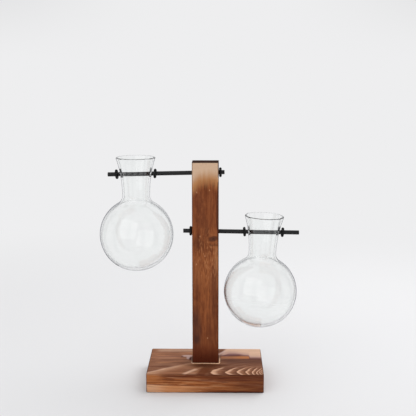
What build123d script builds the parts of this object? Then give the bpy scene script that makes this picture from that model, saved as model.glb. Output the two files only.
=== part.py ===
from build123d import *
import os
from math import asin, atan2, cos, degrees, radians, sin, sqrt, tan

# A propagation stand: a scorched pine board and post, two black steel rods held by rubber
# rings, and two blown glass bulbs that hang from the rods by holes drilled in their necks.
# Lengths are in millimetres and angles in degrees. X runs along the rods, Y from the front
# to the back and Z up. The origin is the middle of the board's underside.

# Clearances that several pieces share
overrun = 2  # how far a cutter passes the faces that it cuts
running_clearance = 0.05  # radial, between a rod and what slides or turns on it
resting_gap = 0.3  # between the flat faces of pieces that are pushed up to each other

# Board, cut from 18 mm stock
board_width = 110
board_depth = 70
board_thickness = 18
board_corner_radius = 1.6
board_arris_radius = 0.8

# Post, a 25 x 18 mm batten let into the board
post_width = 25
post_depth = 18
post_length = 200
post_arris_radius = 0.6
post_set_back = 4.5  # the post stands this far behind the middle of the board
mortise_depth = 5
mortise_gap = 0.1  # the glue line round the foot
mortise_chamfer = 1  # bevelled mouth of the mortise

# Countersunk cross-head screw, up through the board into the foot of the post
screw_length = 35
screw_diameter = 4
screw_head_diameter = 8
screw_head_edge = 0.4  # the head's thin straight rim
screw_sink = 0.5  # how far the head lies inside the board's underside
screw_point_length = 5
screw_point_diameter = 0.8
recess_span = 4.6  # tip to tip of the cross recess
recess_slot = 0.9
recess_depth = 1.7
screw_hole_clearance = 0.25  # radial, where the shank passes the board

# Rods, the same length of 4 mm bar cut twice
rod_diameter = 4
rod_length = 110
rod_end_chamfer = 0.4
upper_rod_drop = 10.5  # below the top of the post
lower_rod_drop = 66.6
upper_rod_tail = 5.5  # what stands out of the post on the side away from the bulb
lower_rod_tail = 8.7
upper_rod_sag_angle = 1.2  # each rod droops towards its bulb in the slack of its hole
lower_rod_sag_angle = 0.8

# Rubber rings: one against the post on each tail, and one each side of each neck
ring_section = 2.5
ring_play = 2  # between a ring and the glass, at the rod
ring_lean_angle = 4.5  # the rings beside a neck lie back along its flare

# Blown glass bulbs, each a ball with a flared neck
bulb_radius = 35
glass_wall = 1.6
neck_waist_radius = 13
neck_blend_radius = 8  # hollow curve from the ball into the neck
rim_radius = 18.5
rim_rise = 15.7  # the rim's top above the rod
bulb_drop = 58  # the ball's centre below the rod
neck_hole_diameter = 5.5
upper_bulb_reach = 65.5  # from the post's centre line to the neck, along the rod
lower_bulb_reach = 55.1
upper_bulb_lean_angle = 0
lower_bulb_lean_angle = 2.6  # this bulb hangs a little out of true


# What follows from the sizes above
rod_radius = rod_diameter / 2
ring_radius = ring_section / 2
ring_circle_radius = (rod_radius + running_clearance + ring_radius) / cos(radians(ring_lean_angle))
neck_hole_radius = neck_hole_diameter / 2
neck_hole_drop = neck_hole_radius - rod_radius - running_clearance

mortise_floor = board_thickness - mortise_depth
post_top = mortise_floor + post_length
upper_rod_height = post_top - upper_rod_drop
lower_rod_height = post_top - lower_rod_drop


# The bulb's wall is three tangent arcs: the ball, the hollow blend and the flare of the neck
blend_centre_radius = neck_waist_radius + neck_blend_radius
blend_centre_rise = sqrt((bulb_radius + neck_blend_radius) ** 2 - blend_centre_radius**2)
waist_height = blend_centre_rise - bulb_drop
blend_angle = degrees(atan2(blend_centre_rise, blend_centre_radius))

# The flare starts upright at the waist, and the middle of its wall ends in the rounded lip
flare_rise = rim_rise - glass_wall / 2 - waist_height
flare_spread = rim_radius - neck_waist_radius
flare_middle_radius = (flare_rise**2 + flare_spread**2) / (2 * flare_spread)
flare_outer_radius = flare_middle_radius - glass_wall / 2
flare_centre_radius = neck_waist_radius + flare_outer_radius
flare_angle = degrees(asin(flare_rise / flare_middle_radius))


# A round cutter or bar that stands on Z = 0
standing = (Align.CENTER, Align.CENTER, Align.MIN)


def neck_radius(height):
    """Outer radius of the neck at a height above the rod, on the flare."""
    above_waist = height - waist_height
    return flare_centre_radius - sqrt(flare_outer_radius**2 - above_waist**2)


def rounded_block(width, depth, height, corner_radius, arris_radius):
    """Block standing on Z = 0 with rounded upright corners and eased edges all round."""
    block = extrude(RectangleRounded(width, depth, corner_radius), height)
    level_edges = block.edges().group_by(Axis.Z)
    return fillet(level_edges[0] + level_edges[-1], arris_radius)


def make_board():
    """Board with a mortise for the post and a countersunk hole under it."""
    board = rounded_block(
        board_width, board_depth, board_thickness, board_corner_radius, board_arris_radius
    )
    mouth_width = post_width + 2 * mortise_gap
    mouth_depth = post_depth + 2 * mortise_gap
    mouth_radius = post_arris_radius + mortise_gap
    mouth = RectangleRounded(mouth_width, mouth_depth, mouth_radius)
    foot = Pos(0, post_set_back, mortise_floor)
    mortise = foot * extrude(mouth, mortise_depth + overrun)
    flare_height = mortise_chamfer + overrun
    flare_bottom = Pos(0, post_set_back, board_thickness - mortise_chamfer)
    flare = extrude(mouth, flare_height, taper=-45)
    return board - mortise - flare_bottom * flare - make_screw_hole()


def make_screw_hole():
    """Clearance hole up to the mortise, with a countersink that the screw's head seats in."""
    head_radius = screw_head_diameter / 2
    hole_radius = screw_diameter / 2 + screw_hole_clearance
    well_radius = head_radius + screw_hole_clearance
    rim_top = screw_sink + screw_head_edge
    cone_height = head_radius - hole_radius
    well = Pos(0, 0, -overrun) * Cylinder(well_radius, overrun + rim_top, align=standing)
    cone = Pos(0, 0, rim_top) * Cone(head_radius, hole_radius, cone_height, align=standing)
    shank = Cylinder(hole_radius, mortise_floor + overrun, align=standing)
    return Pos(0, post_set_back, 0) * (well + cone + shank)


def make_post():
    """Post with a level hole for each rod, wide enough for the rod's droop, and a pilot hole."""
    end_radius = post_arris_radius / 2
    post = rounded_block(post_width, post_depth, post_length, post_arris_radius, end_radius)
    post = Pos(0, post_set_back, mortise_floor) * post
    rod_holes = (
        (upper_rod_height, upper_rod_sag_angle),
        (lower_rod_height, lower_rod_sag_angle),
    )
    for height, sag_angle in rod_holes:
        sag = radians(sag_angle)
        hole_radius = rod_radius / cos(sag) + post_width / 2 * tan(sag) + running_clearance
        hole = Cylinder(hole_radius, post_width + 2 * overrun, rotation=(0, 90, 0))
        post -= Pos(0, post_set_back, height) * hole
    pilot_radius = screw_diameter / 2 + running_clearance
    pilot_depth = screw_sink + screw_length + resting_gap
    pilot = Cylinder(pilot_radius, pilot_depth, align=standing)
    return post - Pos(0, post_set_back, 0) * pilot


def make_screw():
    """Countersunk screw as one turned profile, with a cross recess in its head."""
    head_radius = screw_head_diameter / 2
    shank_radius = screw_diameter / 2
    cone_top = screw_head_edge + head_radius - shank_radius
    profile = Polyline(
        (0, 0),
        (head_radius, 0),
        (head_radius, screw_head_edge),
        (shank_radius, cone_top),
        (shank_radius, screw_length - screw_point_length),
        (screw_point_diameter / 2, screw_length),
        (0, screw_length),
        close=True,
    )
    screw = revolve(make_face(Plane.XZ * profile), Axis.Z)
    for turn in (0, 90):
        screw -= Box(recess_span, recess_slot, 2 * recess_depth, rotation=(0, 0, turn))
    return Pos(0, post_set_back, screw_sink) * screw


def make_rod(tail):
    """Rod along X with chamfered ends: its tail at minus X and its long arm towards plus X."""
    rod = Cylinder(rod_radius, rod_length, rotation=(0, 90, 0))
    rod = chamfer(rod.edges().filter_by(GeomType.CIRCLE), rod_end_chamfer)
    return Pos(rod_length / 2 - post_width / 2 - tail, 0, 0) * rod


def make_ring(lean_angle):
    """Rubber ring threaded on the rod, its top tipped towards plus X by the lean."""
    ring = Torus(ring_circle_radius, ring_radius, rotation=(0, 90, 0))
    return Rot(0, lean_angle, 0) * ring


def wall_arcs(inset):
    """Ball, blend and flare as arcs, moved from the outside of the glass inwards by inset."""
    ball = CenterArc((0, -bulb_drop), bulb_radius - inset, -90, 90 + blend_angle)
    blend = CenterArc(
        (blend_centre_radius, waist_height), neck_blend_radius + inset, 180, blend_angle
    )
    flare = CenterArc(
        (flare_centre_radius, waist_height), flare_outer_radius + inset, 180, -flare_angle
    )
    return ball, blend, flare


def make_bulb():
    """Blown bulb on its own axis, with Z = 0 at the rod: both skins, closed by a round lip."""
    outside = wall_arcs(0)
    inside = wall_arcs(glass_wall)
    lip_middle = Vector(
        flare_centre_radius - flare_middle_radius * cos(radians(flare_angle)),
        rim_rise - glass_wall / 2,
    )
    lip_reach = Vector(sin(radians(flare_angle)), cos(radians(flare_angle))) * glass_wall / 2
    lip = ThreePointArc(outside[-1] @ 1, lip_middle + lip_reach, inside[-1] @ 1)
    base = Line(outside[0] @ 0, inside[0] @ 0)
    outline = Curve() + [*outside, lip, *inside, base]
    return revolve(make_face(Plane.XZ * outline), Axis.Z)


def make_hung_bulb(lean_angle):
    """Bulb leaning on its rod, with both walls of its neck drilled along the rod."""
    bulb = Rot(0, lean_angle, 0) * make_bulb()
    drill_length = 2 * (rim_radius + overrun)
    drill = Cylinder(neck_hole_radius, drill_length, rotation=(0, 90, 0))
    return bulb - Pos(0, 0, -neck_hole_drop) * drill


def make_arm(name, side, height, sag_angle, tail, reach, bulb_lean_angle):
    """A rod with its three rings and its bulb, which hangs left of the post (-1) or right (1)."""
    rod_line = Location((0, post_set_back, height), (0, side * sag_angle, 0))
    facing = rod_line * Rot(0, 0, 0 if side > 0 else 180)
    post_ring_place = -(post_width / 2 + resting_gap + ring_radius)
    ring_offset = neck_radius(0) + ring_play + ring_radius
    inner_ring_place = reach - ring_offset
    outer_ring_place = reach + ring_offset
    bulb = make_hung_bulb(bulb_lean_angle - side * sag_angle)
    return {
        f"{name}_rod": facing * make_rod(tail),
        f"{name}_post_ring": facing * Pos(post_ring_place, 0, 0) * make_ring(0),
        f"{name}_inner_ring": facing * Pos(inner_ring_place, 0, 0) * make_ring(-ring_lean_angle),
        f"{name}_outer_ring": facing * Pos(outer_ring_place, 0, 0) * make_ring(ring_lean_angle),
        f"{name}_bulb_vase": rod_line * Pos(side * reach, 0, 0) * bulb,
    }


upper_arm = make_arm(
    "upper",
    -1,
    upper_rod_height,
    upper_rod_sag_angle,
    upper_rod_tail,
    upper_bulb_reach,
    upper_bulb_lean_angle,
)
lower_arm = make_arm(
    "lower",
    1,
    lower_rod_height,
    lower_rod_sag_angle,
    lower_rod_tail,
    lower_bulb_reach,
    lower_bulb_lean_angle,
)
pieces = {
    "base_board": make_board(),
    "upright_post": make_post(),
    "post_screw": make_screw(),
    **upper_arm,
    **lower_arm,
}

os.makedirs("parts", exist_ok=True)
for name, piece in pieces.items():
    export_step(piece, f"parts/{name}.step")
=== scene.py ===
"""A propagation stand set out for its photograph.

A scorched pine board and post carry two black rods. On each rod hangs a clear blown bulb, by the two
holes in its neck, and rubber rings keep it in its place. Sizes are in millimetres and angles in
degrees. X runs along the rods, Y from the front to the back and Z up, and the origin is the middle of
the board's underside.
"""

from collections import namedtuple
from math import asin, atan2, cos, degrees, hypot, pi, radians, sin, sqrt, tan

import bmesh
import bpy
import numpy as np
from mathutils import Matrix, Vector


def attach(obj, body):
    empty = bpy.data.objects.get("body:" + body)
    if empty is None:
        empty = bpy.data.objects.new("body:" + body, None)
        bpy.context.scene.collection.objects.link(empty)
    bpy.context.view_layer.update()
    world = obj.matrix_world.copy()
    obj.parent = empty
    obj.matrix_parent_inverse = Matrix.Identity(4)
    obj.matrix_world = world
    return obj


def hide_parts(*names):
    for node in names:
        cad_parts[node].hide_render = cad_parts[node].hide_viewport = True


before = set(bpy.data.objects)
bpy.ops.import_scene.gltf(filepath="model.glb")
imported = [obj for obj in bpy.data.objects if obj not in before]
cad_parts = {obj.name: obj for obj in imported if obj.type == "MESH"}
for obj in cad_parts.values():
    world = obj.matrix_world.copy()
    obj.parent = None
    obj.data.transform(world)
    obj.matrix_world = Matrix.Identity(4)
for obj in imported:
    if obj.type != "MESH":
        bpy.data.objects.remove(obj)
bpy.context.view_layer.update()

MM = 0.001
sewing_reach = 0.002  # points closer than this are one

# Board and post
board_width = 110
board_depth = 70
board_thickness = 18
post_width = 25
post_depth = 18
post_arris_radius = 0.6
post_set_back = 4.5
post_top = 213

# Rods
rod_radius = 2
rod_length = 110
rod_end_chamfer = 0.4

# Rubber rings
ring_radius = 1.25
ring_clearance = 0.05
ring_play = 2
ring_lean_angle = 4.5
resting_gap = 0.3

# Glass bulbs
bulb_radius = 35
glass_wall = 1.6
neck_waist_radius = 13
neck_blend_radius = 8
rim_radius = 18.5
rim_rise = 15.7
bulb_drop = 58
neck_hole_radius = 2.75
neck_hole_drop = 0.7

# The two arms: the side they point to, and how each rod and bulb happens to sit
Arm = namedtuple("Arm", "name side rod_height sag_angle tail reach lean_angle")
upper_arm = Arm("upper", side=-1, rod_height=202.5, sag_angle=1.2, tail=5.5, reach=65.5, lean_angle=0)
lower_arm = Arm("lower", side=1, rod_height=146.4, sag_angle=0.8, tail=8.7, reach=55.1, lean_angle=2.6)

# What follows from the sizes above: the wall of a bulb is a ball, a hollow blend and a flare
blend_centre_radius = neck_waist_radius + neck_blend_radius
blend_centre_rise = sqrt((bulb_radius + neck_blend_radius) ** 2 - blend_centre_radius**2)
waist_height = blend_centre_rise - bulb_drop
blend_angle = degrees(atan2(blend_centre_rise, blend_centre_radius))
flare_rise = rim_rise - glass_wall / 2 - waist_height
flare_spread = rim_radius - neck_waist_radius
flare_middle_radius = (flare_rise**2 + flare_spread**2) / (2 * flare_spread)
flare_outer_radius = flare_middle_radius - glass_wall / 2
flare_centre_radius = neck_waist_radius + flare_outer_radius
flare_angle = degrees(asin(flare_rise / flare_middle_radius))


class Surface:
    """Grids of points that are sewn into one mesh; where two grids meet, their points agree."""

    def __init__(self):
        self.points = []
        self.faces = []
        self.count = 0

    def add(self, grid, keep=None):
        """Takes points as (rows, columns, 3) and joins each four neighbours; keep picks the faces."""
        rows, columns = grid.shape[:2]
        index = self.count + np.arange(rows * columns).reshape(rows, columns)
        faces = np.stack([index[:-1, :-1], index[:-1, 1:], index[1:, 1:], index[1:, :-1]], axis=-1)
        if keep is not None:
            faces = faces[keep]
        self.points.append(grid.reshape(-1, 3))
        self.faces.append(faces.reshape(-1, 4))
        self.count += rows * columns

    def make(self, name, material, crease_angle=35):
        """Sews the grids together and returns the piece, smooth but for edges past the crease."""
        mesh = bpy.data.meshes.new(name)
        points = np.concatenate(self.points) * MM
        faces = np.concatenate(self.faces)
        mesh.from_pydata(points.tolist(), [], faces.tolist())
        sewn = bmesh.new()
        sewn.from_mesh(mesh)
        bmesh.ops.remove_doubles(sewn, verts=sewn.verts, dist=sewing_reach * MM)
        bmesh.ops.recalc_face_normals(sewn, faces=sewn.faces)
        sewn.to_mesh(mesh)
        sewn.free()
        mesh.shade_smooth()
        mesh.set_sharp_from_angle(angle=radians(crease_angle))
        mesh.materials.append(material)
        piece = bpy.data.objects.new(name, mesh)
        bpy.context.scene.collection.objects.link(piece)
        return piece


def turned(grid, angle):
    """The grid turned about the Y axis: X swings down as the angle grows."""
    a = radians(angle)
    x, y, z = grid[..., 0], grid[..., 1], grid[..., 2]
    return np.stack([x * cos(a) + z * sin(a), y, z * cos(a) - x * sin(a)], axis=-1)


def spun(radius, height, columns):
    """A profile of radii and heights spun about Z: each point is (r cos a, r sin a, height)."""
    around = np.linspace(0, 2 * pi, columns + 1)
    r, a = np.meshgrid(radius, around, indexing="ij")
    h = np.broadcast_to(np.asarray(height, float)[:, None], r.shape)
    return np.stack([r * np.cos(a), r * np.sin(a), h], axis=-1)


def on_arm(grid, arm):
    """A grid laid out along a level rod, carried to the arm's rod, which droops away from the post."""
    return turned(grid, arm.side * arm.sag_angle) + np.array([0, post_set_back, arm.rod_height])


def facing(grid, arm):
    """Turns a grid half round for the arm that points left."""
    return grid * np.array([arm.side, arm.side, 1])


# Rods and rings


def make_rod(name, arm, material):
    """A bar spun about X: flat ends, a rounded chamfer and a long straight run."""
    chamfer_rows, run_rows, columns = 6, 40, 48
    end_flat = rod_radius - rod_end_chamfer
    lead = np.linspace(0, pi / 2, chamfer_rows)
    end_radius = end_flat + rod_end_chamfer * np.sin(lead)
    end_place = rod_end_chamfer * (1 - np.cos(lead))
    run = np.linspace(rod_end_chamfer, rod_length - rod_end_chamfer, run_rows)[1:-1]
    along = np.concatenate([[0, 0], end_place, run, rod_length - end_place[::-1], [rod_length] * 2])
    middle = np.full(len(run), float(rod_radius))
    flat = [0, end_flat / 2]
    radius = np.concatenate([flat, end_radius, middle, end_radius[::-1], flat[::-1]])
    upright = spun(radius, along - post_width / 2 - arm.tail, columns)
    surface = Surface()
    surface.add(on_arm(facing(upright[..., [2, 0, 1]], arm), arm))
    return surface.make(name, material)


def make_ring(name, arm, place, lean_angle, material):
    """A ring of round section about X, with a faint mould line round its outside."""
    columns, rows = 97, 41
    flash_rise, flash_width = 0.05, 0.12
    around = np.linspace(0, 2 * pi, columns)
    section = np.linspace(0, 2 * pi, rows)
    flash = flash_rise * np.exp(-((np.sin(section) / flash_width) ** 2))
    circle = (rod_radius + ring_clearance + ring_radius) / cos(radians(ring_lean_angle))
    outwards = circle + (ring_radius + flash * (np.cos(section) > 0)) * np.cos(section)
    along = ring_radius * np.sin(section)
    r, a = np.meshgrid(outwards, around, indexing="ij")
    x = np.broadcast_to(along[:, None], r.shape)
    grid = np.stack([x, r * np.cos(a), r * np.sin(a)], axis=-1)
    grid = turned(grid, lean_angle) + np.array([place, 0, 0])
    surface = Surface()
    surface.add(on_arm(facing(grid, arm), arm))
    return surface.make(name, material)


# Glass bulbs

bulb_columns = 128
patch_columns = 6  # half the width of the patch round a drilled hole
patch_rows = 6  # half its height
patch_half_height = 4.5
patch_half_turn = 2 * pi * patch_columns / bulb_columns


def flare_radius(height, inset):
    """Radius of the neck's skin at a height, on an arc whose centre lies outside the neck."""
    reach = flare_outer_radius + inset
    return flare_centre_radius - np.sqrt(reach**2 - (height - waist_height) ** 2)


def skin_profile(inset):
    """Radii and heights of one skin from the foot of the ball up to the rim, and the patch's rows."""
    ball_rows, blend_rows, below_rows, above_rows = 58, 12, 14, 12
    ball = np.radians(np.linspace(-90, blend_angle, ball_rows))
    ball_radius = (bulb_radius - inset) * np.cos(ball)
    ball_height = (bulb_radius - inset) * np.sin(ball) - bulb_drop
    blend = np.radians(np.linspace(180 + blend_angle, 180, blend_rows))[1:]
    blend_radius = blend_centre_radius + (neck_blend_radius + inset) * np.cos(blend)
    blend_height = waist_height + (neck_blend_radius + inset) * np.sin(blend)
    rim_height = waist_height + (flare_outer_radius + inset) * sin(radians(flare_angle))
    below = np.linspace(waist_height, -patch_half_height, below_rows)[1:]
    beside = np.linspace(-patch_half_height, patch_half_height, 2 * patch_rows + 1)[1:]
    above = np.linspace(patch_half_height, rim_height, above_rows)[1:]
    flare_height = np.concatenate([below, beside, above])
    radius = np.concatenate([ball_radius, blend_radius, flare_radius(flare_height, inset)])
    height = np.concatenate([ball_height, blend_height, flare_height])
    first_row = len(ball) + len(blend) + len(below) - 1
    return radius, height, first_row


def blown(radius, height, around, inset):
    """A point of the glass: the turned shape, waved a little as blown glass is, thicker at the foot."""
    axis_fade, neck_fade, foot_start, foot_lift = 10, 20, 18, 0.5
    wave = 0.05 * np.sin(2 * around + height / 17) + 0.03 * np.sin(3 * around - height / 11)
    inner_wave = 0.12 * np.sin(around + 1 + height / 23) + 0.07 * np.sin(3 * around + height / 9)
    neckless = np.clip((waist_height - height) / neck_fade, 0, 1)
    foot = np.clip((-bulb_drop - foot_start - height) / (bulb_radius - foot_start), 0, 1)
    share = inset / glass_wall
    grown = neckless * (wave + share * inner_wave)
    r = np.where(radius > 1e-6, radius + grown * np.clip(radius / axis_fade, 0, 1), 0)
    lift = share * foot_lift * foot**2
    return np.stack([r * np.cos(around), r * np.sin(around), height + lift], axis=-1)


def square_loop(cells):
    """Points round a square from -1 to 1, anticlockwise, with the first one again at the end."""
    edge = np.linspace(-1, 1, cells + 1)[:-1]
    one = np.ones(cells)
    across = np.concatenate([edge, one, -edge, -one, [-1]])
    up = np.concatenate([-one, edge, one, -edge, [-1]])
    return across, up


def drilled_loop(side, lean_angle, inset):
    """The edge of a drilled hole on one skin, as turns about the axis and heights."""
    across, up = square_loop(2 * patch_columns)
    bearing = np.arctan2(up, across)
    wall = flare_radius(0, inset)
    centre = side * wall * tan(radians(lean_angle)) - neck_hole_drop
    height = centre + neck_hole_radius * np.sin(bearing)
    turn = np.arcsin(neck_hole_radius * np.cos(bearing) / wall)
    return turn, height


def add_hole(surface, side, lean_angle):
    """Patches from the square gap in each skin to the round hole, and the hole's wall between."""
    patch_steps, wall_steps = 6, 4
    across, up = square_loop(2 * patch_columns)
    middle = 0 if side > 0 else pi
    edges = []
    for inset in (0, glass_wall):
        turn, height = drilled_loop(side, lean_angle, inset)
        share = np.linspace(0, 1, patch_steps)[:, None]
        t = (1 - share) * patch_half_turn * across + share * turn
        h = (1 - share) * patch_half_height * up + share * height
        grid = blown(flare_radius(h, inset), h, middle + t, inset)
        surface.add(grid)
        edges.append(grid[-1])
    share = np.linspace(0, 1, wall_steps)[:, None, None]
    surface.add((1 - share) * edges[0] + share * edges[1])


def make_bulb(name, arm, material):
    """A bulb as two skins of revolution joined by a round lip, drilled through on both sides."""
    lean = arm.lean_angle - arm.side * arm.sag_angle
    around = np.linspace(0, 2 * pi, bulb_columns + 1)
    surface = Surface()
    rims = []
    for inset in (0, glass_wall):
        radius, level, first_row = skin_profile(inset)
        r, a = np.meshgrid(radius, around, indexing="ij")
        h = np.broadcast_to(level[:, None], r.shape)
        keep = np.ones((len(radius) - 1, bulb_columns), bool)
        rows = slice(first_row, first_row + 2 * patch_rows)
        half = bulb_columns // 2
        keep[rows, :patch_columns] = False
        keep[rows, -patch_columns:] = False
        keep[rows, half - patch_columns : half + patch_columns] = False
        grid = blown(r, h, a, inset)
        surface.add(grid, keep)
        rims.append(grid[-1])
    middle = (rims[0] + rims[1]) / 2
    outwards = rims[0] - middle
    upwards = np.cross(outwards, np.gradient(middle, axis=0))
    upwards *= (np.linalg.norm(outwards, axis=1) / np.linalg.norm(upwards, axis=1))[:, None]
    upwards *= np.sign(upwards[:, 2])[:, None]
    lip_rows, lip_rise = 13, 1.1
    bend = np.linspace(0, pi, lip_rows)[:, None, None]
    surface.add(middle + outwards * np.cos(bend) + lip_rise * upwards * np.sin(bend))
    for hole_side in (-1, 1):
        add_hole(surface, hole_side, lean)
    for i, grid in enumerate(surface.points):
        hung = turned(grid, lean) + np.array([arm.side * arm.reach, 0, 0])
        surface.points[i] = on_arm(hung, arm)
    piece = surface.make(name, material)
    piece.visible_shadow = False  # clear glass lets nearly all the lamps' light through
    return piece


# Recipes for the finishes


def paint(red, green, blue):
    """A colour as it looks on a screen, from 0 to 255, as the light that it sends back."""
    share = np.array([red, green, blue]) / 255
    light = np.where(share <= 0.04045, share / 12.92, ((share + 0.055) / 1.055) ** 2.4)
    return (*light.tolist(), 1.0)


class Field:
    """A number at each point of a surface, which adds and multiplies like any other number."""

    def __init__(self, recipe, socket):
        self.recipe = recipe
        self.socket = socket

    def __add__(self, other):
        return self.recipe.sum_up("ADD", self, other)

    def __sub__(self, other):
        return self.recipe.sum_up("SUBTRACT", self, other)

    def __mul__(self, other):
        return self.recipe.sum_up("MULTIPLY", self, other)

    def __truediv__(self, other):
        return self.recipe.sum_up("DIVIDE", self, other)

    def __neg__(self):
        return self.recipe.sum_up("MULTIPLY", self, -1)

    def __rsub__(self, other):
        return self.recipe.sum_up("SUBTRACT", other, self)

    __radd__ = __add__
    __rmul__ = __mul__

    def __abs__(self):
        return self.recipe.sum_up("ABSOLUTE", self)

    def root(self):
        return self.recipe.sum_up("SQRT", self)

    def log(self):
        return self.recipe.sum_up("LOGARITHM", self, float(np.e))

    def fraction(self):
        return self.recipe.sum_up("FRACT", self)

    def above(self, low):
        return self.recipe.sum_up("MAXIMUM", self, low)

    def below(self, high):
        return self.recipe.sum_up("MINIMUM", self, high)

    def rising(self, low, high):
        """0 below the low value, 1 above the high one, and a smooth step between."""
        return self.recipe.step(self, low, high)

    def falling(self, low, high):
        return 1 - self.recipe.step(self, low, high)

    def between(self, low, high, soft):
        """1 from the low value to the high one, with soft edges."""
        return self.rising(low - soft, low + soft) * self.falling(high - soft, high + soft)


class Recipe:
    """A node tree that is written as sums of fields."""

    def __init__(self, tree):
        self.tree = tree
        tree.nodes.clear()

    def node(self, kind, **settings):
        made = self.tree.nodes.new(kind)
        for key, value in settings.items():
            setattr(made, key, value)
        return made

    def feed(self, socket, value):
        """Puts a number or a colour on a socket, or links a field or another socket to it."""
        if isinstance(value, Field):
            self.tree.links.new(value.socket, socket)
        elif isinstance(value, bpy.types.NodeSocket):
            self.tree.links.new(value, socket)
        else:
            socket.default_value = value

    def sum_up(self, operation, *values):
        made = self.node("ShaderNodeMath", operation=operation)
        for socket, value in zip(made.inputs, values):
            self.feed(socket, value)
        return Field(self, made.outputs[0])

    def parts(self, vector):
        """The three numbers of a vector socket."""
        made = self.node("ShaderNodeSeparateXYZ")
        self.feed(made.inputs[0], vector)
        return [Field(self, socket) for socket in made.outputs]

    def step(self, value, low, high):
        made = self.node("ShaderNodeMapRange", interpolation_type="SMOOTHSTEP")
        self.feed(made.inputs["Value"], value)
        self.feed(made.inputs["From Min"], low)
        self.feed(made.inputs["From Max"], high)
        return Field(self, made.outputs["Result"])

    def mixed(self, under, over, share):
        """One colour laid over another by a share."""
        made = self.node("ShaderNodeMix", data_type="RGBA", clamp_factor=True)
        self.feed(made.inputs[0], share)
        self.feed(made.inputs[6], under)
        self.feed(made.inputs[7], over)
        return made.outputs[2]

    def blend(self, share, under, over):
        """One shader laid over another by a share."""
        made = self.node("ShaderNodeMixShader")
        self.feed(made.inputs[0], share)
        self.feed(made.inputs[1], under)
        self.feed(made.inputs[2], over)
        return made.outputs[0]

    def seen(self):
        """Three fields: 1 for what is seen straight, in a reflection, and through glass."""
        path = self.node("ShaderNodeLightPath")
        kinds = ("Is Camera Ray", "Is Glossy Ray", "Is Transmission Ray")
        straight, glossy, refracted = (Field(self, path.outputs[kind]) for kind in kinds)
        return straight, glossy - refracted, refracted


class Finish(Recipe):
    """The nodes of one material. x, y and z are the place on the piece in millimetres.

    Shades are red, green and blue from 0 to 255, and a share runs from 0 to 1.
    """

    def __init__(self, name):
        self.material = bpy.data.materials.new(name)
        self.material.use_nodes = True
        super().__init__(self.material.node_tree)
        self.shader = self.node("ShaderNodeBsdfPrincipled")
        self.output = self.node("ShaderNodeOutputMaterial")
        self.feed(self.output.inputs["Surface"], self.shader.outputs["BSDF"])
        in_metres = self.node("ShaderNodeTexCoord").outputs["Object"]
        scaled = self.node("ShaderNodeVectorMath", operation="SCALE")
        self.feed(scaled.inputs[0], in_metres)
        scaled.inputs["Scale"].default_value = 1 / MM
        self.x, self.y, self.z = self.parts(scaled.outputs["Vector"])
        self.colour = None

    def ground(self, one, other, share):
        """The first colour of a surface: two shades, from one to the other by a share."""
        self.colour = self.mixed(paint(*one), paint(*other), share)

    def coat(self, shade, share):
        """Lays a shade over the colour that is there, by a share."""
        self.colour = self.mixed(self.colour, paint(*shade), share)

    def noise(self, sizes, detail=2.0, roughness=0.5, seed=0.0, place=None):
        """Cloudy values from 0 to 1 whose patches are about these sizes along X, Y and Z."""
        joined = self.node("ShaderNodeCombineXYZ")
        for socket, value, size in zip(joined.inputs, place or (self.x, self.y, self.z), sizes):
            self.feed(socket, value / size + seed)
        made = self.node("ShaderNodeTexNoise", noise_dimensions="3D")
        self.feed(made.inputs["Vector"], joined.outputs[0])
        self.feed(made.inputs["Scale"], 1.0)
        self.feed(made.inputs["Detail"], detail)
        self.feed(made.inputs["Roughness"], roughness)
        return Field(self, made.outputs["Fac"])

    def spot(self, x, z, reach_x, reach_z, edge=0.5):
        """1 inside an ellipse on a face that looks along Y, fading over a share of its size."""
        return self.ellipse((self.x - x) / reach_x, (self.z - z) / reach_z, edge)

    def patch(self, x, y, reach_x, reach_y, edge=0.5):
        """1 inside an ellipse on a level face, fading over a share of its size."""
        return self.ellipse((self.x - x) / reach_x, (self.y - y) / reach_y, edge)

    def stroke(self, start, end, half_width, soft):
        """1 along a straight line between two points of a level face, with soft sides and ends."""
        run, rise = end[0] - start[0], end[1] - start[1]
        length = hypot(run, rise)
        ahead, aside = run / length, rise / length
        along = (self.x - start[0]) * ahead + (self.y - start[1]) * aside
        across = (self.y - start[1]) * ahead - (self.x - start[0]) * aside
        return along.between(0, length, 2 * soft) * across.between(-half_width, half_width, soft)

    def ellipse(self, across, up, edge):
        return (across * across + up * up).root().falling(1 - edge, 1 + edge)

    def relief(self, height):
        """Raises the surface by a field in millimetres."""
        bump = self.node("ShaderNodeBump")
        bump.inputs["Strength"].default_value = 1.0
        bump.inputs["Distance"].default_value = MM
        self.feed(bump.inputs["Height"], height)
        self.feed(self.shader.inputs["Normal"], bump.outputs["Normal"])

    def finish(self, **values):
        """Gives the shader its colour and sets its other sockets by name, with _ for a space."""
        self.feed(self.shader.inputs["Base Color"], self.colour)
        for name, value in values.items():
            self.feed(self.shader.inputs[name.replace("_", " ")], value)
        return self.material


# Wood


# Soft bands along the board's left half: place across, ends along, half width, colour and share
board_bands = (
    (12.2, -50, -22, 1.5, (118, 76, 66), 0.5),
    (7.4, -49, -27, 1.8, (172, 126, 98), 0.6),
    (1.0, -54, -24, 1.4, (122, 78, 60), 0.4),
    (-9.5, -50, -24, 2.4, (158, 114, 88), 0.5),
    (-14.6, -55, -40, 1.6, (120, 74, 54), 0.6),
    (30.0, -50, -8, 4.0, (186, 148, 124), 0.75),
)

# Pale strokes on the left half of the top: two ends, half width, softness and share
board_strokes = (
    ((-20, -33.5), (-8.5, -21), 1.8, 1.1, 0.8),
    ((-56, -32), (-38, -20.5), 1.0, 1.2, 0.7),
    ((-42, -22), (-25, -13), 1.4, 2.2, 0.4),
)


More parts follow.
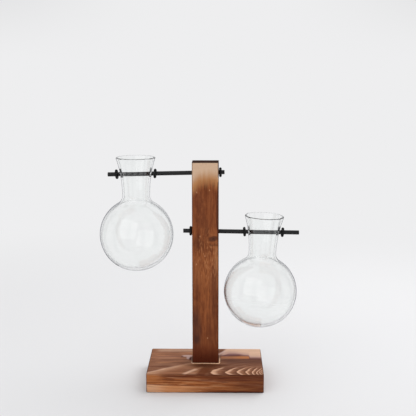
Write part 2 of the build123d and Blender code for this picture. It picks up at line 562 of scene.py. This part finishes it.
class PineBoard(Finish):
    """Scorched pine: arches where the saw ran across the growth rings, long grain on the edges."""

    def __init__(self):
        super().__init__("scorched_pine_board")
        self.on_top = self.z.rising(board_thickness - 1.2, board_thickness - 0.6)
        self.on_front = self.y.falling(0.3 - board_depth / 2, 0.9 - board_depth / 2)
        self.along_grain = abs(self.x).falling(board_width / 2 - 1, board_width / 2 - 0.4)
        self.streak = self.noise((60, 2.4, 2.0), detail=3, roughness=0.55, seed=7.0)
        self.cloud = self.noise((30, 14, 12), seed=3.0)
        self.grain = self.noise((26, 1.6, 1.3), detail=4, roughness=0.65, seed=13.0)
        self.fibre = self.noise((26, 0.55, 0.55), detail=3, roughness=0.6)
        self.fine = self.noise((18, 0.4, 0.28), roughness=0.6, seed=11.0)
        self.ragged = 3 * (self.streak - 0.5) + 2 * (self.cloud - 0.5)

    def count_years(self):
        """Rings lie round a pith line over the board's front, which bends away to the left."""
        x, y, z = self.x, self.y, self.z
        pith_height, pith_slope = 80, 0.1
        last_tip, tip_run, crowding = 60, 55, 0.30
        pith_rise = pith_height - pith_slope * x
        self.sideways = y + 29 - 0.04 * x + 0.3 * (-x).above(0)
        upwards = board_thickness + pith_rise - z
        wander = self.noise((45, 16, 16))
        from_pith = (self.sideways * self.sideways + upwards * upwards).root()

        # A ring's tip is its place along X on the top; the tips crowd together towards the last one
        tip = (pith_height - (from_pith + 1.6 * (wander - 0.5))) / pith_slope
        growth = ((last_tip - tip).above(3) / tip_run).log()
        wide_years = growth.above(0).below(1.3)
        years = -(wide_years * (3.4 - 1.24 * wide_years) + growth.below(0) / crowding)
        part_year = years.fraction()
        pale_width = 0.48 - 0.22 * abs(self.sideways).rising(2, 14)
        self.pale_wood = part_year.falling(0.12, pale_width) * part_year.rising(0.0, 0.05)
        self.dark_wood = part_year.rising(0.42, 0.92) * part_year.falling(0.97, 1.0)

    def brown_all_over(self):
        """Bands along the grain, redder on the edges than on the top."""
        top_brown = self.mixed(paint(122, 78, 56), paint(158, 108, 80), self.streak.rising(0.36, 0.64))
        edge_brown = self.mixed(paint(124, 62, 30), paint(184, 110, 60), self.streak.rising(0.34, 0.64))
        self.colour = self.mixed(edge_brown, top_brown, self.on_top)
        strength = self.along_grain * (0.55 + 0.2 * self.on_front)
        self.coat((80, 38, 22), self.grain.falling(0.38, 0.49) * strength)
        self.coat((206, 146, 100), self.grain.rising(0.54, 0.66) * strength)
        right_middle = self.on_top * self.x.rising(-8, 24) * (self.y + self.ragged).rising(-17, -11)
        self.coat((92, 52, 38), right_middle * 0.55)

    def mark_left_half(self):
        """Soft bands, and where the saw ran out of the arches a slanting edge and pale strokes."""
        x, y = self.x, self.y
        for place, start, end, half_width, shade, share in board_bands:
            across = (y - place + 0.5 * self.ragged).between(-half_width, half_width, 0.8 * half_width)
            along = x.rising(start - 3, start + 6) * x.falling(end - 8, end + 4)
            self.coat(shade, self.on_top * across * along * share)
        below_edge = 0.66 * (x + 54) - 31 - y + 0.4 * self.ragged
        corner = self.on_top * x.falling(-26, -12) * below_edge.rising(-1, 1.5)
        self.coat((148, 94, 62), corner * 0.6)
        self.coat((186, 138, 106), corner * below_edge.falling(2, 13) * 0.6)
        for start, end, half_width, soft, share in board_strokes:
            pale = self.on_top * self.stroke(start, end, half_width, soft)
            self.coat((222, 180, 152), pale * share)

    def lay_arches(self):
        """Arches along the front on the right, thinner along their arms, and rings on the ends."""
        from_axis = abs(self.sideways)
        near_edge = (self.y + 0.6 * self.ragged).falling(-20, -14)
        arches = self.on_top * self.x.rising(-3, 3) * from_axis.falling(9, 20) * near_edge
        end_rings = 0.5 - 0.5 * self.along_grain
        self.coat((90, 48, 28), self.dark_wood * (0.14 + 0.55 * arches + end_rings))
        arch_share = 0.10 + (0.72 - 0.3 * from_axis.rising(4, 14)) * arches + 0.3 * end_rings
        self.coat((228, 182, 150), self.pale_wood * arch_share * (0.7 + 0.6 * self.grain))
        between_arches = self.on_top * self.stroke((-5, -38), (1.5, -17), 4.2, 1.8)
        self.coat((98, 50, 26), between_arches * 0.8)

    def lay_sapwood(self):
        """Pale sapwood at the back right, with a bruised edge, and an orange strip in front of it."""
        x, y, on_top, ragged = self.x, self.y, self.on_top, self.ragged
        edge = 15.5 + 5 * x.rising(16, 24) - 4 * x.rising(28, 42) - 6.5 * x.rising(42, 44)
        edge = edge + 0.5 * ragged
        sapwood = on_top * (x - 0.3 * (y - 20)).rising(14, 17.5) * (y - edge).rising(-2.0, 2.0)
        self.coat((190, 152, 138), sapwood * 0.9)
        bare = sapwood * (y - edge + 0.12 * (x - 30)).rising(1, 11) * (1 - 0.7 * y.falling(11, 18))
        self.coat((216, 178, 150), bare * (0.6 + 0.4 * self.fibre))
        bruise_depth = 6.5 - 4.5 * x.rising(16, 42)
        bruise = on_top * x.rising(16, 24) * (y - edge).between(-bruise_depth, 0.2, 1.3)
        self.coat((134, 98, 96), bruise * 0.85)
        arm = on_top * self.stroke((12.5, 17.6), (19.5, 29), 1.4, 1.0)
        self.coat((196, 166, 156), arm * 0.75)
        core_rise = y - 1.8 * x.rising(13, 22) + 0.3 * ragged
        core = on_top * x.between(12, 34, 2) * core_rise.between(13.2, 15.6, 1.0)
        self.coat((92, 52, 56), core * 0.85)
        strip = on_top * x.between(15, 42.5, 0.6) * (y + 0.3 * ragged).between(7.0, 13.0, 1.2)
        self.coat((172, 112, 76), strip * 0.75)
        self.coat((186, 114, 60), strip * x.rising(24, 38) * 0.6)
        smoke = on_top * x.rising(14, 28) * (y + 0.7 * ragged).between(-5, 4.6, 2.2)
        self.coat((92, 56, 42), smoke * 0.75)
        burn = on_top * x.rising(36, 44) * (y + 0.2 * ragged).between(4.5, 6.8, 1.0)
        self.coat((84, 46, 46), burn * 0.8)

    def darken_front_of_foot(self):
        """A dark patch in front of the post's foot, and a grey curl with dark ends to its left."""
        front_of_foot = self.on_top * self.patch(3, -12, 17, 5.5, edge=0.6)
        self.coat((78, 38, 20), front_of_foot * 0.85)
        curl = self.on_top * self.patch(-18, 14, 5.5, 2.6, edge=0.3)
        curl = curl.above(self.on_top * self.patch(-17.2, 9.5, 1.8, 4.5, edge=0.35))
        self.coat((186, 158, 152), curl * 0.8)
        dark_ends = self.on_top * self.patch(-14.6, 6.5, 1.6, 4.0, edge=0.4)
        dark_ends = dark_ends.above(self.on_top * self.patch(-23.4, 12.2, 1.2, 1.8, edge=0.5) * 0.7)
        self.coat((70, 34, 36), dark_ends * 0.9)

    def mark_front(self):
        """A pale band low on the left that falls and thins towards the right, and a darker right end."""
        x, z, on_front, ragged = self.x, self.z, self.on_front, self.ragged
        left_end = on_front * x.falling(-50, -34)
        self.coat((172, 108, 62), left_end * z.rising(8, 12) * 0.5)
        band_top = 8.4 - 0.045 * (x + board_width / 2) + 0.5 * ragged
        band = on_front * (z - band_top).falling(-1.0, 0.8)
        self.coat((206, 146, 100), band * x.falling(-30, 10) * (0.25 + 0.7 * self.grain))
        self.coat((224, 176, 140), band * left_end * (0.2 + 0.7 * self.grain))
        thin_band = on_front * (z + 0.03 * x + 0.4 * ragged).between(4.6, 6.4, 0.7) * x.between(-22, 6, 5)
        self.coat((206, 148, 106), thin_band * 0.5)
        self.coat((80, 38, 24), on_front * (x + 2 * z).rising(-10, 66) * 0.7)
        upper_edge = on_front * (z + 0.5 * ragged).rising(12.2, 15) * x.rising(-46, -34)
        self.coat((88, 40, 20), upper_edge * 0.45)
        seam = on_front * (z - 16.2 + 0.02 * (x + 30)).between(-0.35, 0.35, 0.35) * x.between(-42, -18, 4)
        self.coat((84, 42, 24), seam * 0.8)
        foot_line = on_front * z.falling(0.6, 2.4) * (x + 8 * (self.cloud - 0.5)).rising(-6, 6)
        self.coat((56, 26, 18), foot_line * 0.8)

    def show_fibres(self):
        """Fine lines along the grain; the end grain drinks the stain and dries darker."""
        self.coat((70, 34, 20), self.fine.rising(0.56, 0.74) * (0.3 + 0.2 * self.along_grain))
        self.coat((206, 152, 110), self.fibre.rising(0.60, 0.80) * self.along_grain * 0.3)
        self.coat((92, 50, 32), 0.45 - 0.45 * self.along_grain)

    def burn_arrises(self):
        """The arrises took the flame hardest, except where the arches run over the front one."""
        to_side = board_width / 2 - abs(self.x)
        to_front = board_depth / 2 - abs(self.y)
        to_face = board_thickness / 2 - abs(self.z - board_thickness / 2)
        nearest = to_side.below(to_front)
        arris = nearest.above(to_side.above(to_front).below(to_face))
        burnt = (arris + 1.2 * (self.streak - 0.5)).falling(0.2, 1.1)
        upper_front = self.y.falling(-34, -30) * self.z.rising(15, 17)
        burnt = burnt * (0.35 + 0.6 * self.cloud.rising(0.35, 0.65)) * (1 - 0.6 * upper_front)
        self.coat((64, 32, 20), burnt)


def board_finish():
    wood = PineBoard()
    wood.count_years()
    wood.brown_all_over()
    wood.mark_left_half()
    wood.lay_arches()
    wood.lay_sapwood()
    wood.darken_front_of_foot()
    wood.mark_front()
    wood.show_fibres()
    wood.burn_arrises()
    wood.relief(0.05 * wood.fibre + 0.05 * wood.fine + 0.06 * wood.streak - 0.05 * wood.pale_wood)
    return wood.finish(Roughness=0.55 + 0.25 * wood.fibre, Specular_IOR_Level=0.1)


# The post's knot, and pale flecks on its front: place along X and height
knot_x, knot_z = 7.4, 140.8
post_flecks = ((-8, 185), (4, 187), (-5, 143), (-8.5, 116), (-0.5, 124), (2, 43))


class PinePost(Finish):
    """Scorched pine batten: pale at the top of the front, reddish brown below, darkest at its foot."""

    def __init__(self):
        super().__init__("scorched_pine_post")
        front_face = post_set_back - post_depth / 2
        self.on_front = self.y.falling(front_face + 0.3, front_face + 1.3)

        # The fibres part round the knot below the lower rod
        near_knot = self.spot(knot_x, knot_z, 7, 11, edge=0.8)
        bent = knot_x + (self.x - knot_x) * (1 - 0.55 * near_knot)
        place = (bent, self.y, self.z)
        self.fibre = self.noise((0.55, 0.55, 30), detail=3, roughness=0.6, place=place)
        self.streak = self.noise((2.2, 2.2, 42), detail=3, roughness=0.55, seed=5.0, place=place)
        self.cloud = self.noise((9, 9, 34), seed=2.0, place=place)
        self.mottle = self.noise((2.6, 2.6, 7), detail=3, seed=9.0, place=place)
        self.grain = self.noise((0.9, 0.9, 14), detail=3, roughness=0.65, seed=15.0, place=place)
        self.nicks = self.noise((0.8, 0.8, 4.5), detail=1, seed=21.0, place=place)

    def brown_all_over(self):
        """Streaks, clouds and grain in several browns."""
        self.ground((112, 56, 28), (150, 86, 48), self.streak.rising(0.32, 0.66))
        self.coat((94, 48, 30), self.cloud.rising(0.50, 0.75) * 0.55)
        self.coat((70, 32, 18), self.grain.falling(0.36, 0.48) * 0.5)
        self.coat((172, 104, 60), self.grain.rising(0.55, 0.68) * 0.4)
        self.coat((166, 98, 56), self.mottle.rising(0.54, 0.68) * 0.4)
        self.coat((84, 40, 22), self.mottle.falling(0.34, 0.46) * 0.35)
        self.coat((80, 38, 22), self.fibre.rising(0.54, 0.74) * 0.4)

    def tint_stretches(self):
        """Even and reddish near the top and the foot, warmer in the middle, smoky low on the left."""
        z = self.z
        even = z.between(150, 186, 6) * 0.35 + z.falling(36, 74) * 0.45
        self.coat((118, 63, 37), even)
        warm = z.between(94, 126, 10) * 0.35 + self.spot(1.5, 75, 4.5, 26, edge=0.7) * 0.15
        self.coat((162, 98, 58), warm)
        dim = self.spot(8.5, 92, 3.6, 24, edge=0.6) * 0.45 + self.spot(-7.5, 136, 3.2, 7, edge=0.7) * 0.5
        dim = dim + self.spot(7.5, 52, 5, 24, edge=0.6) * 0.25 + self.spot(-9, 88, 5, 30, edge=0.7) * 0.2
        self.coat((82, 44, 30), dim)
        smoke = self.spot(-9, 51, 5, 19, edge=0.6) * 0.7 + self.spot(-8.2, 41, 3, 4, edge=0.6) * 0.3
        self.coat((60, 38, 34), (smoke + 0.5 * (self.streak - 0.5)) * 0.8)
        self.coat((104, 46, 26), z.falling(30, 40) * 0.45)
        foot = (z + 8 * (self.streak - 0.5)).falling(17, 40)
        self.coat((72, 26, 10), foot * 0.8)
        self.coat((74, 22, 6), z.falling(20, 34) * 0.4)

    def nick(self):
        """Nicks below the lower rod, pale and dark, and a pale strip near the right edge."""
        nicked = self.spot(3, 122, 11, 22, edge=0.7)
        self.coat((192, 130, 84), self.nicks.rising(0.55, 0.68) * nicked * 0.55)
        self.coat((92, 44, 24), self.nicks.falling(0.34, 0.44) * nicked * 0.45)
        pale_strip = self.spot(10.2, 122, 1.5, 14, edge=0.6)
        self.coat((190, 132, 88), pale_strip * (0.1 + 0.5 * self.grain))
        marks = self.spot(6.2, 134.2, 2.4, 0.9, edge=0.6) + self.spot(10.3, 134.6, 1.5, 0.9, edge=0.6)
        self.coat((80, 42, 26), marks * 0.5)

    def lay_knot(self):
        """A dark eye wider than it is tall, in a warmer rim; from_eye is 1 at its edge."""
        wobble = 0.5 * (self.mottle - 0.5)
        eye_across = (self.x - knot_x) / 4.4
        eye_up = (self.z - knot_z - 0.16 * (self.x - knot_x)) / 2.7
        self.from_eye = (eye_across * eye_across + eye_up * eye_up).root() + wobble
        self.coat((152, 92, 54), self.from_eye.between(1.15, 1.75, 0.3) * 0.35)
        self.coat((76, 44, 32), self.from_eye.falling(0.75, 1.15) * 0.75)
        self.coat((60, 34, 26), self.from_eye.falling(0.1, 0.6) * 0.5)

    def bare_top(self):
        """The flame stopped below the top of the front: golden, then bare, in tongues between fibres."""
        x, z = self.x, self.z
        tongues = 10 * (self.streak - 0.5) + 8 * (self.fibre - 0.5) + 0.25 * x - 0.05 * x * x
        height = z - tongues
        self.coat((184, 130, 84), self.on_front * height.rising(188, 200) * 0.9)
        self.coat((208, 176, 148), self.on_front * (0.7 * height + 0.3 * z).rising(196, 208))

    def burn_edges(self):
        """Scorched arrises, widest on the right, where a chip shows bare wood, and burnt end grain."""
        x, y, z = self.x, self.y, self.z
        widened = 1.2 * (200 - z).rising(0, 30) * z.rising(130, 165)
        right_line = (x - 11.6 + widened).rising(-0.3, 0.4)
        chip = self.spot(11.8, 197, 1.4, 2.2, edge=0.4)
        right_line = right_line * (1 - chip) * z.rising(100, 150)
        self.coat((76, 42, 30), right_line * 0.85)
        arris = (post_width / 2 - abs(x)).above(post_depth / 2 - abs(y - post_set_back))
        self.coat((56, 28, 18), (arris + self.streak - 0.5).falling(0.1, 1.0) * 0.6)
        self.end_grain = z.rising(post_top - 0.7, post_top - 0.2)
        self.coat((34, 16, 8), self.end_grain * 0.96)

    def fleck(self):
        """A few pale flecks on the front."""
        for fleck_x, fleck_z in post_flecks:
            fleck = self.on_front * self.spot(fleck_x, fleck_z, 0.45, 0.7, edge=0.8)
            self.coat((206, 152, 112), fleck * 0.6)


def post_finish():
    wood = PinePost()
    wood.brown_all_over()
    wood.tint_stretches()
    wood.nick()
    wood.lay_knot()
    wood.bare_top()
    wood.burn_edges()
    wood.fleck()
    eye_dip = wood.from_eye.falling(0.6, 1.2)
    wood.relief(0.06 * wood.fibre + 0.07 * wood.streak - 0.12 * eye_dip)
    rough = 0.55 + 0.25 * wood.fibre + 0.3 * wood.end_grain
    return wood.finish(Roughness=rough, Specular_IOR_Level=0.1)


# The other materials


def rod_finish():
    """Satin black paint on steel, with the faint peel of a sprayed coat."""
    black = Finish("satin_black_rod")
    peel = black.noise((1.1, 1.1, 1.1))
    handling = black.noise((14, 3, 3), detail=3, seed=4.0)
    black.relief(0.006 * peel)
    black.ground((14, 14, 15), (26, 26, 27), handling)
    return black.finish(Roughness=0.32 + 0.16 * handling, Specular_IOR_Level=0.3)


def rubber_finish():
    """Matt black rubber with a dry bloom on it."""
    rubber = Finish("matt_black_rubber")
    bloom = rubber.noise((1.6, 1.6, 1.6), detail=4, roughness=0.6)
    rubber.relief(0.012 * rubber.noise((0.25, 0.25, 0.25), seed=6.0))
    rubber.ground((12, 12, 13), (34, 34, 34), bloom.rising(0.45, 0.8))
    return rubber.finish(Roughness=0.62 + 0.2 * bloom, Specular_IOR_Level=0.3)


def glass_finish():
    """Clear blown glass: slow ripples in the skin, a trace of haze, and painted grey shade where seen
    edge on.
    """
    glass = Finish("clear_blown_glass")
    slant = Field(glass, glass.node("ShaderNodeLayerWeight").outputs["Facing"])
    ripple = glass.noise((16, 16, 22), detail=1)
    haze = glass.noise((9, 9, 9), detail=3, seed=8.0)
    glass.relief(0.05 * ripple)
    glass.ground((252, 254, 253), (255, 255, 255), haze)
    # Painted shade: grey laid on where the glass is seen edge on, in place of the dark edges that bending
    # light shows
    glass.coat((40, 42, 54), slant.rising(0.62, 0.92) * 0.95)
    return glass.finish(Roughness=0.012 * haze.rising(0.45, 0.85), IOR=1.5, Transmission_Weight=1.0)


def screw_finish():
    """Bright zinc plate on a turned head."""
    zinc = Finish("bright_zinc")
    back = zinc.y - post_set_back
    from_axis = (zinc.x * zinc.x + back * back).root()
    turns_per_mm = 7
    turning = (from_axis * turns_per_mm).fraction()
    tarnish = zinc.noise((1.8, 1.8, 1.8), detail=3)
    zinc.relief(0.01 * turning)
    zinc.ground((172, 176, 182), (206, 204, 192), tarnish)
    return zinc.finish(Metallic=1.0, Roughness=0.22 + 0.2 * tarnish)


def glue_finish():
    """Dried wood glue, the colour of fresh pine: browner by the post, smoked at the back and left."""
    glue = Finish("dried_glue")
    x, y = glue.x, glue.y
    lumps = glue.noise((2.2, 2.2, 1.2), detail=3)
    glue.relief(0.03 * lumps)
    glue.ground((214, 168, 130), (238, 200, 166), lumps.rising(0.3, 0.7))
    from_post = (post_set_back - post_depth / 2 - y).above(abs(x) - post_width / 2)
    glue.coat((120, 74, 48), from_post.falling(0.3, 1.1) * 0.8)
    smoked = y.rising(6, 11).above(x.falling(-12.9, -12.5) * (0.6 + 0.4 * y.rising(-3, 2)))
    glue.coat((104, 66, 50), smoked * 0.9)
    return glue.finish(Roughness=0.5 + 0.2 * lumps, Specular_IOR_Level=0.2)


# The glue line


def foot_outline(reach, per_corner=7, per_side=24):
    """Points round the foot of the post, a distance outside its rounded rectangle."""
    half_x = post_width / 2 - post_arris_radius
    half_y = post_depth / 2 - post_arris_radius
    corner = post_arris_radius + reach
    x, y = [], []
    for k, (right, back) in enumerate(((1, 1), (-1, 1), (-1, -1), (1, -1))):
        turn = np.linspace(0, pi / 2, per_corner) + k * pi / 2
        x.append(right * half_x + corner * np.cos(turn))
        y.append(back * half_y + corner * np.sin(turn))
    x, y = np.concatenate(x), np.concatenate(y)
    x, y = np.append(x, x[0]), np.append(y, y[0])
    count = np.arange(len(x))
    sides = count[per_corner - 1 :: per_corner][:4]
    between = [start + np.linspace(0, 1, per_side)[1:-1] for start in sides]
    place = np.sort(np.concatenate([count, *between]))
    return np.interp(place, count, x), np.interp(place, count, y) + post_set_back


def make_glue_line(material):
    """A low bead round the foot: widest along X, swelling away from the post, a little uneven."""
    gap, width, rise, depth = 0.02, 2.6, 0.2, 0.9
    side_share, profile_steps = 0.6, 11
    share = np.linspace(0, 1, profile_steps)
    out = gap + width * share
    up = rise * np.sin(pi * share**2)
    profile = [(gap, -depth), *zip(out, up), (width * 0.4, -0.1), (0.12, -depth), (gap, -depth)]
    rows = []
    for out, up in profile:
        x, _ = foot_outline(gap + side_share * (out - gap))
        _, y = foot_outline(out)
        wander = 0.3 * np.sin(0.9 * x) * np.cos(1.3 * y) * max(up, 0)
        rows.append(np.stack([x, y, board_thickness + up + wander], axis=-1))
    surface = Surface()
    surface.add(np.array(rows))
    return surface.make("glue_line", material)


# Floor, backdrop, light and camera

backdrop_tone = paint(238, 238, 239)
corner_tone = paint(222, 222, 223)
flag_tone = paint(112, 114, 124)


def make_floor():
    """A wide pale disc. Far out the eye sees the backdrop's tone on it; glass and gloss see past it."""
    hair_gap = 0.03  # keeps the floor and the board's underside from lying in one plane
    columns = 64
    rings = np.concatenate([np.linspace(0, 600, 13), np.geomspace(700, 6000, 12)])
    surface = Surface()
    surface.add(spun(rings, np.full(len(rings), -hair_gap), columns))
    floor = Finish("pale_floor")
    mottle = floor.noise((400, 400, 400), detail=1)
    floor.ground((219, 219, 221), (222, 222, 223), mottle)
    floor.finish(Roughness=0.9, Specular_IOR_Level=0.0)
    distance = (floor.x * floor.x + floor.y * floor.y).root()
    eye_fade, glass_fade = (200, 800), (140, 320)
    straight, reflected, refracted = floor.seen()
    far = floor.node("ShaderNodeEmission")
    far.inputs["Color"].default_value = backdrop_tone
    tone_share = distance.rising(*eye_fade) * straight
    for_eye = floor.blend(tone_share, floor.shader.outputs[0], far.outputs[0])
    open_room = floor.node("ShaderNodeBsdfTransparent")
    for_glass = distance.rising(*glass_fade) * (reflected + refracted)
    floor.feed(floor.output.inputs["Surface"], floor.blend(for_glass, for_eye, open_room.outputs[0]))
    surface.make("floor", floor.material)


def make_backdrop():
    """Pale, a little darker between its panels, with grey flags in reflections; as a light, even."""
    world = bpy.data.worlds.new("studio")
    bpy.context.scene.world = world
    world.use_nodes = True
    panels = 8
    sky = Recipe(world.node_tree)
    towards = sky.node("ShaderNodeTexCoord").outputs["Generated"]
    x, y, z = sky.parts(towards)
    around = sky.sum_up("COSINE", sky.sum_up("ARCTAN2", x, y) * panels)
    straight, reflected, refracted = sky.seen()
    panel_gap = around.falling(-1.0, 1.0)
    shaded = sky.mixed(backdrop_tone, corner_tone, panel_gap * z.rising(0.0, 0.12))
    upright_flags = around.falling(-0.95, 0.0) * z.falling(0.5, 0.8)
    level_flags = z.between(0.34, 0.5, 0.08) * 0.6
    toned = sky.mixed(shaded, flag_tone, upright_flags.above(level_flags) * reflected)
    shown = sky.node("ShaderNodeBackground")
    sky.feed(shown.inputs["Color"], toned)
    light = sky.node("ShaderNodeBackground")
    light.inputs["Color"].default_value = (1.0, 1.0, 1.0, 1.0)
    light.inputs["Strength"].default_value = 0.8
    both = sky.blend(straight + reflected + refracted, light.outputs[0], shown.outputs[0])
    sky.feed(sky.node("ShaderNodeOutputWorld").inputs["Surface"], both)


def make_lamp(name, place, aim, size, power, mirrored):
    """A square soft lamp at one place, aimed at another; mirrored lets gloss and glass show it."""
    lamp = bpy.data.lights.new(name, "AREA")
    lamp.size = size * MM
    lamp.energy = power
    holder = bpy.data.objects.new(name, lamp)
    bpy.context.scene.collection.objects.link(holder)
    holder.location = Vector(place) * MM
    holder.rotation_mode = "QUATERNION"
    holder.rotation_quaternion = (Vector(aim) - Vector(place)).to_track_quat("-Z", "Y")
    holder.visible_glossy = mirrored
    holder.visible_transmission = mirrored


def make_camera():
    """The photograph's view: yaw from straight ahead, pitch down, and a trace of roll."""
    yaw, pitch, roll = radians(-0.926), radians(10.098), radians(-0.052)
    ahead = Vector((sin(yaw) * cos(pitch), cos(yaw) * cos(pitch), -sin(pitch)))
    level = Vector((cos(yaw), -sin(yaw), 0))
    over = level.cross(ahead)
    right = level * cos(roll) + over * sin(roll)
    up = over * cos(roll) - level * sin(roll)
    film_width, focal_length = 36, 69.9
    lens = bpy.data.cameras.new("camera")
    lens.sensor_width = film_width
    lens.lens = focal_length
    lens.clip_start = 0.01
    lens.clip_end = 50
    camera = bpy.data.objects.new("camera", lens)
    bpy.context.scene.collection.objects.link(camera)
    place = Vector((14.54, -748.11, 302.67)) * MM
    rows = [*zip(right, up, -ahead, place), (0, 0, 0, 1)]
    camera.matrix_world = Matrix(rows)
    bpy.context.scene.camera = camera


def make_studio():
    make_floor()
    make_backdrop()
    make_lamp("key", place=(480, 380, 950), aim=(0, 0, 60), size=900, power=5.7, mirrored=False)
    make_lamp("fill", place=(-500, -900, 600), aim=(0, 0, 100), size=1200, power=2.8, mirrored=True)
    make_camera()
    scene = bpy.context.scene
    scene.view_settings.view_transform = "Standard"

    # Light needs many turns to find its way out of a thick glass edge
    scene.cycles.max_bounces = 64
    scene.cycles.glossy_bounces = 48
    scene.cycles.transmission_bounces = 48


# Dressing the frame


def dress_arm(arm, rod, rubber, glass):
    """A rod with its three rings and its bulb, each in place of its plain solid."""
    post_place = -(post_width / 2 + resting_gap + ring_radius)
    offset = float(flare_radius(0, 0)) + ring_play + ring_radius
    near, far = arm.reach - offset, arm.reach + offset
    rings = (("post", post_place, 0), ("inner", near, -ring_lean_angle), ("outer", far, ring_lean_angle))
    pieces = [("rod", "black_rod", make_rod(f"{arm.name}_rod_bar", arm, rod))]
    for kind, place, lean_angle in rings:
        ring = make_ring(f"{arm.name}_{kind}_o_ring", arm, place, lean_angle, rubber)
        pieces.append((f"{kind}_ring", "black_rubber", ring))
    pieces.append(("bulb", "clear_glass", make_bulb(f"{arm.name}_glass_bulb", arm, glass)))
    for part, slot, piece in pieces:
        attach(piece, f"{arm.name}_{part}")
        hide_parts(f"{arm.name}_{'bulb_vase' if part == 'bulb' else part}")


def dress_arms():
    rod, rubber, glass = rod_finish(), rubber_finish(), glass_finish()
    for arm in (upper_arm, lower_arm):
        dress_arm(arm, rod, rubber, glass)


def dress_node(node, material):
    """Gives a solid that keeps its own shape its finish."""
    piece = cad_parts[node]
    piece.data.materials.clear()
    piece.data.materials.append(material)


def dress_stand():
    dress_node("base_board", board_finish())
    dress_node("upright_post", post_finish())
    dress_node("post_screw", screw_finish())
    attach(make_glue_line(glue_finish()), "stand")


dress_stand()
dress_arms()
make_studio()
